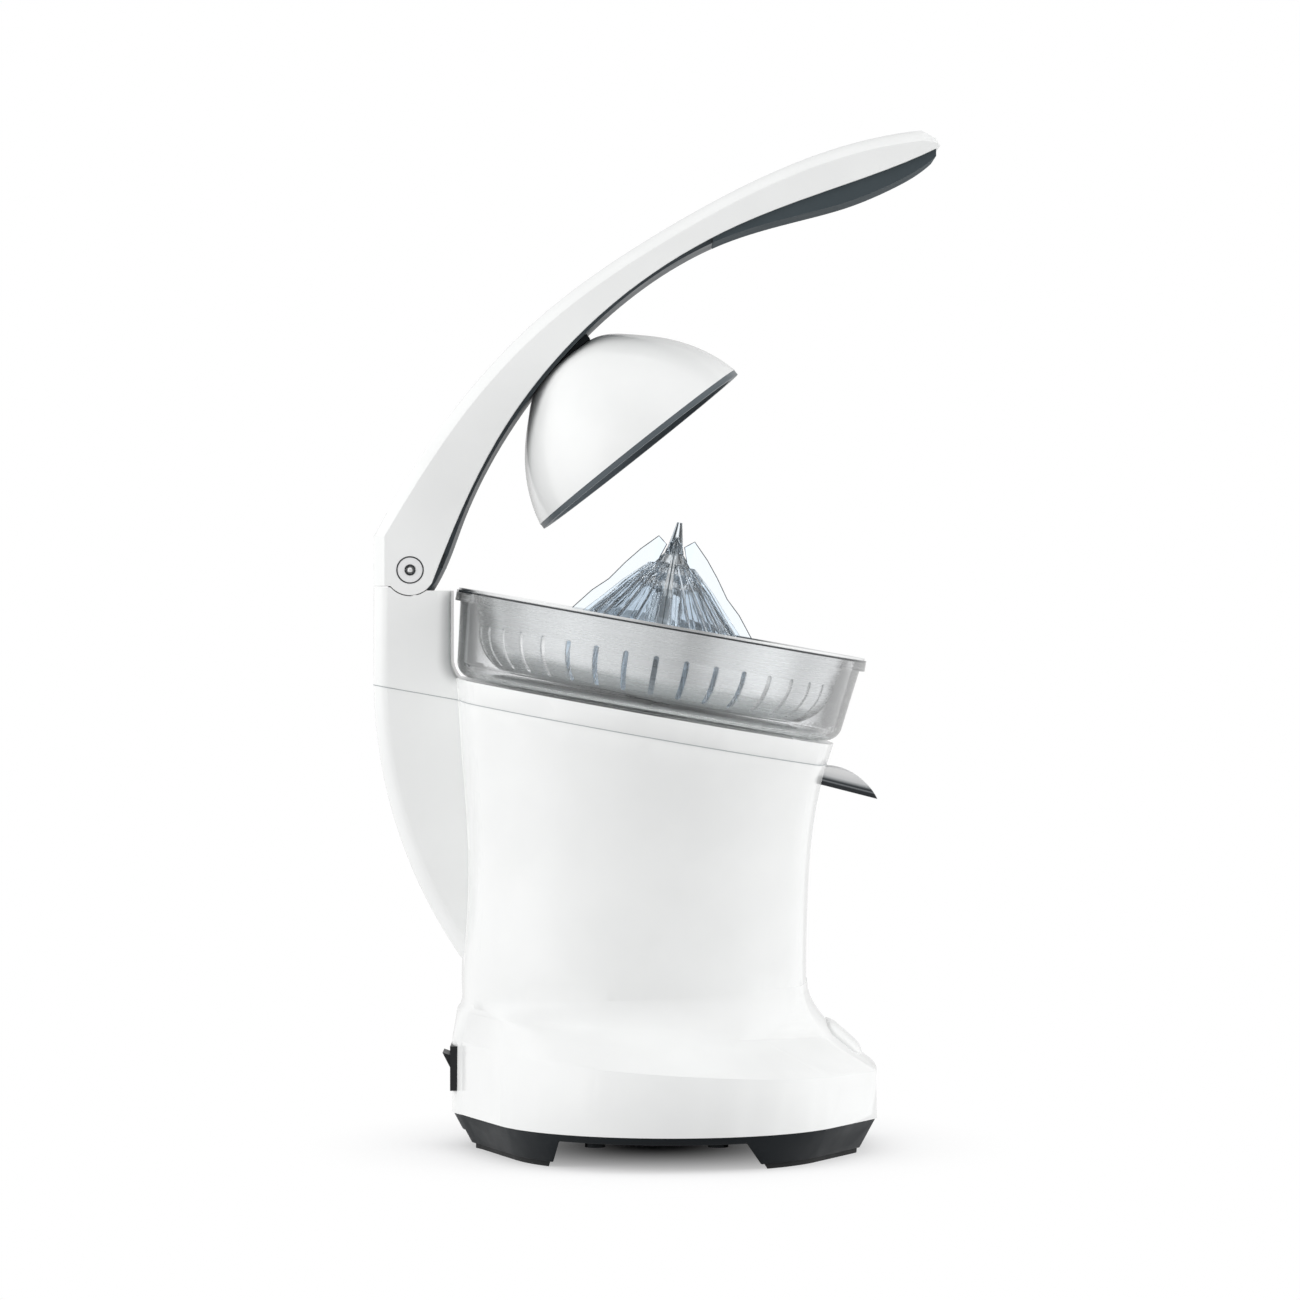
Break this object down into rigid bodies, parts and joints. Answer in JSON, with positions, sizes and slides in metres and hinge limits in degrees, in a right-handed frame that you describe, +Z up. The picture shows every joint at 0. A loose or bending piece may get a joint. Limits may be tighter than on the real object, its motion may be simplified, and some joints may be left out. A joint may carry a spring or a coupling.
{
  "type": "electric lever citrus press",
  "caption": "White lever citrus press with a clear leaning bowl, steel strainer basket, ribbed reamer, press dome on a long hinged arm and a chrome spout.",
  "frame": {"origin": "on the table, under the middle of the overall box", "axes": "+X to the front with the spout, +Z up, +Y to the left side as seen from behind"},
  "size_m": [0.2287, 0.208, 0.4115],
  "materials": {
    "white_gloss": "gloss",
    "dark_plastic": "matte",
    "soft_grip": "matte",
    "foot_rubber": "matte",
    "chrome": "mirror polished",
    "brushed_steel": "brushed",
    "steel": "turned",
    "clear_plastic": "clear polished",
    "gear_plastic": "moulded"
  },
  "bodies": {
    "stand": {"motor_housing": "white_gloss", "upper_deck": "white_gloss", "base_plate": "dark_plastic", "rubber_feet": "foot_rubber", "base_screws": "steel", "cord_grommet": "foot_rubber", "switch_bezel": "dark_plastic", "spout": "chrome", "juice_bowl": "clear_plastic", "filter_basket": "brushed_steel", "shaft_bush": "gear_plastic", "shaft_seal": "foot_rubber", "idler_pin": "steel", "motor_can": "steel", "gear_plate": "steel", "motor_plate": "steel", "gear_posts": "steel", "hinge_washers": "gear_plastic"},
    "drive": {"drive_shaft": "steel", "output_gear": "gear_plastic", "reamer_cone": "clear_plastic"},
    "idler": {"idler_gear": "gear_plastic"},
    "rotor": {"motor_shaft": "steel", "motor_pinion": "steel"},
    "rocker": {"power_rocker": "dark_plastic"},
    "arm": {"arm_shell": "white_gloss", "arm_trim": "dark_plastic", "hinge_cover": "dark_plastic", "grip_pad": "soft_grip", "hinge_pin": "steel", "hinge_bolts": "steel", "dome_shell": "white_gloss", "dome_liner": "dark_plastic", "dome_bracket": "dark_plastic", "dome_screw": "steel"}
  },
  "joints": [
    {"name": "arm_hinge", "type": "hinge", "parent": "stand", "child": "arm", "pos_m": [-0.0993, 0, 0.2339], "axis": [0, 1, 0], "range_deg": [0, 36]},
    {"name": "rocker_hinge", "type": "hinge", "parent": "stand", "child": "rocker", "pos_m": [-0.0803, 0, 0.0322], "axis": [0, 1, 0], "range_deg": [0, 14]},
    {"name": "drive_spin", "type": "hinge", "parent": "stand", "child": "drive", "pos_m": [0.0023, 0, 0.2124], "axis": [0.1736, 0, 0.9848], "continuous": true},
    {"name": "idler_spin", "type": "hinge", "parent": "stand", "child": "idler", "pos_m": [-0.01712, 0.03708, 0.21582], "axis": [0.1736, 0, 0.9848], "continuous": true},
    {"name": "rotor_spin", "type": "hinge", "parent": "stand", "child": "rotor", "pos_m": [0.01686, 0.03708, 0.20983], "axis": [0.1736, 0, 0.9848], "continuous": true}
  ],
  "couplings": [
    {"joint": "idler_spin", "follows": "drive_spin", "ratio": -3.6667},
    {"joint": "rotor_spin", "follows": "drive_spin", "ratio": 10.389}
  ]
}
